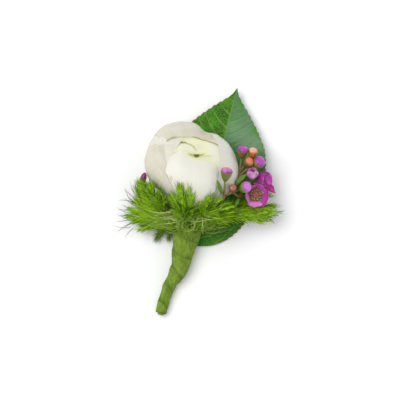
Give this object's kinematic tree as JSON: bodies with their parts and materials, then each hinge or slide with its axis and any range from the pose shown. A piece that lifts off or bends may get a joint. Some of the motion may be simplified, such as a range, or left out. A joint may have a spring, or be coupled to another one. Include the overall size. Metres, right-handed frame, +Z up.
{
  "type": "boutonniere",
  "caption": "Lying buttonhole flower: a closed white ranunculus bloom on a broad leaf with feathery green plumes and wax flower sprigs, bound by floral tape.",
  "frame": {"origin": "bottom centre of the bounding box, on the surface that the flower lies on", "axes": "+Y from the taped handle towards the leaf tip, +Z up from the surface, +X towards the wax flowers"},
  "size_m": [0.0712, 0.1086, 0.039],
  "materials": {
    "outer_petals": "thin white petal, satin, faintly veined, cream to grey-green in the folds",
    "inner_petals": "pale yellow-green young petal, satin",
    "sepals": "matt grey-green sepal with a downy surface",
    "flower_stem": "smooth green flower stem, paler at its cut end",
    "leaf": "leathery green leaf, glossy above and matt below, pale netted veins, reddish toothed edge",
    "plumes": "soft bright green thread-like bracts, straw coloured at their base",
    "floral_tape": "waxed green crepe paper tape, wound on a slant and creased",
    "twigs": "thin brown-green woody twig",
    "needle_leaves": "small waxy needle leaf",
    "flower_cups": "waxy olive cup, reddish brown inside",
    "buds": "waxy bud with a purple-pink cap on an olive cup",
    "wax_petals": "waxy magenta petal, paler at its edge"
  },
  "bodies": {
    "root": {"bloom_stem": "flower_stem", "bud_left": "buds", "bud_lilac": "buds", "bud_peach": "buds", "bud_salmon": "buds", "bud_small": "buds", "bud_tall": "buds", "bud_upper_left": "buds", "bud_upper_right": "buds", "floral_tape": "floral_tape", "flower_folded_cup": "flower_cups", "flower_folded_petals": "wax_petals", "flower_open_cup": "flower_cups", "flower_open_petal_1": "wax_petals", "flower_open_petal_2": "wax_petals", "flower_open_petal_3": "wax_petals", "flower_open_petal_4": "wax_petals", "flower_open_petal_5": "wax_petals", "flower_side_cup": "flower_cups", "flower_side_petal_1": "wax_petals", "flower_side_petal_2": "wax_petals", "flower_side_petal_3": "wax_petals", "flower_side_petal_4": "wax_petals", "flower_side_petal_5": "wax_petals", "heart": "inner_petals", "leaf": "leaf", "needle_left": "needle_leaves", "needle_low": "needle_leaves", "needle_right": "needle_leaves", "needle_tall": "needle_leaves", "petal_front": "outer_petals", "petal_inner_front": "inner_petals", "petal_inner_left": "inner_petals", "petal_inner_right": "inner_petals", "petal_left": "outer_petals", "petal_lower": "outer_petals", "petal_right": "outer_petals", "petal_second_left": "inner_petals", "petal_second_right": "inner_petals", "petal_second_top": "inner_petals", "petal_top": "outer_petals", "petal_upper_left": "outer_petals", "petal_upper_right": "outer_petals", "plume_centre": "plumes", "plume_left_lower": "plumes", "plume_left_upper": "plumes", "plume_right_long": "plumes", "plume_right_lower": "plumes", "plume_right_upper": "plumes", "plume_tape_side": "plumes", "sepal_1": "sepals", "sepal_2": "sepals", "sepal_3": "sepals", "sepal_4": "sepals", "sepal_5": "sepals", "wax_twig_left": "twigs", "wax_twig_right": "twigs"}
  },
  "joints": []
}
